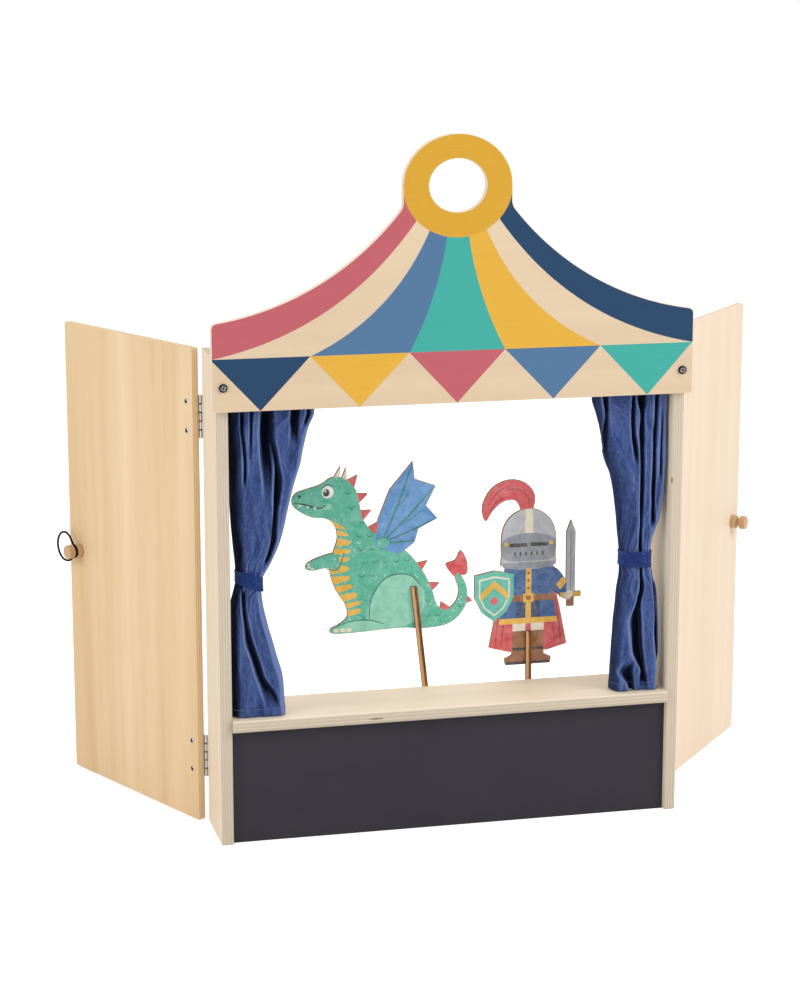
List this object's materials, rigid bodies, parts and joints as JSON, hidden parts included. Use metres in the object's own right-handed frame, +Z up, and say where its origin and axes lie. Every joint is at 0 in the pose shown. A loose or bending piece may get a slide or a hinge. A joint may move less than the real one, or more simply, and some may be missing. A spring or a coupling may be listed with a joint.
{
  "type": "tabletop puppet theatre",
  "caption": "Tabletop puppet theatre: a plywood box with a painted tent pediment, chalkboard front, tied curtains, hinged doors and stick puppets.",
  "frame": {"origin": "on the table, midway along the chalkboard and in the middle of its thickness", "axes": "+X to the audience's right along the stage, +Y from the audience to the back, +Z up"},
  "size_m": [0.7727, 0.3152, 0.707],
  "materials": {
    "plywood": "clear matt varnish over birch faces",
    "pale_wood": "clear matt varnish",
    "chalkboard": "matt blackboard paint",
    "painted_plywood": "satin paint in coloured fields on bare birch",
    "black_screw": "black oxide",
    "hinge_steel": "nickel plated",
    "fixing_steel": "plain",
    "curtain_cloth": "plain woven cotton",
    "tieback_cloth": "plain woven cotton",
    "knob_wood": "turned, clear varnish",
    "elastic": "covered with black thread",
    "dragon_print": "printed in colour on thin plywood",
    "knight_print": "printed in colour on thin plywood",
    "stick_wood": "sawn and sanded"
  },
  "bodies": {
    "box": {"left_side_panel": "plywood", "right_side_panel": "plywood", "stage_shelf": "pale_wood", "shelf_dowels": "pale_wood", "chalkboard": "chalkboard", "pediment_board": "painted_plywood", "pediment_screws": "black_screw", "curtain_rod": "pale_wood", "left_upper_hinge_frame_leaf": "hinge_steel", "left_lower_hinge_frame_leaf": "hinge_steel", "right_upper_hinge_frame_leaf": "hinge_steel", "right_lower_hinge_frame_leaf": "hinge_steel", "left_upper_hinge_pin": "fixing_steel", "left_lower_hinge_pin": "fixing_steel", "right_upper_hinge_pin": "fixing_steel", "right_lower_hinge_pin": "fixing_steel", "left_hinge_screws": "fixing_steel", "right_hinge_screws": "fixing_steel"},
    "left_door_set": {"left_door": "plywood", "left_upper_hinge_door_leaf": "hinge_steel", "left_lower_hinge_door_leaf": "hinge_steel", "left_door_rivets": "fixing_steel", "left_knob": "knob_wood", "left_knob_screw": "fixing_steel", "elastic_loop": "elastic"},
    "right_door_set": {"right_door": "plywood", "right_upper_hinge_door_leaf": "hinge_steel", "right_lower_hinge_door_leaf": "hinge_steel", "right_door_rivets": "fixing_steel", "right_knob": "knob_wood", "right_knob_screw": "fixing_steel"},
    "left_curtain_set": {"left_curtain": "curtain_cloth", "left_tieback": "tieback_cloth"},
    "right_curtain_set": {"right_curtain": "curtain_cloth", "right_tieback": "tieback_cloth"},
    "dragon_puppet": {"dragon_figure": "dragon_print", "dragon_stick": "stick_wood"},
    "knight_puppet": {"knight_figure": "knight_print", "knight_stick": "stick_wood"}
  },
  "joints": [
    {"name": "left_door_hinge", "type": "hinge", "parent": "box", "child": "left_door_set", "pos_m": [-0.2417, 0.0718, 0.247], "axis": [0, 0, 1], "range_deg": [-115, 80]},
    {"name": "right_door_hinge", "type": "hinge", "parent": "box", "child": "right_door_set", "pos_m": [0.2417, 0.0718, 0.247], "axis": [0, 0, -1], "range_deg": [-130, 65]},
    {"name": "left_curtain_slide", "type": "slide", "parent": "box", "child": "left_curtain_set", "axis": [1, 0, 0], "range_m": [0, 0.12]},
    {"name": "right_curtain_slide", "type": "slide", "parent": "box", "child": "right_curtain_set", "axis": [-1, 0, 0], "range_m": [0, 0.12]},
    {"name": "dragon_slide", "type": "slide", "parent": "box", "child": "dragon_puppet", "axis": [-1, 0, 0], "range_m": [0, 0.06]},
    {"name": "knight_slide", "type": "slide", "parent": "box", "child": "knight_puppet", "axis": [1, 0, 0], "range_m": [0, 0.06]}
  ]
}
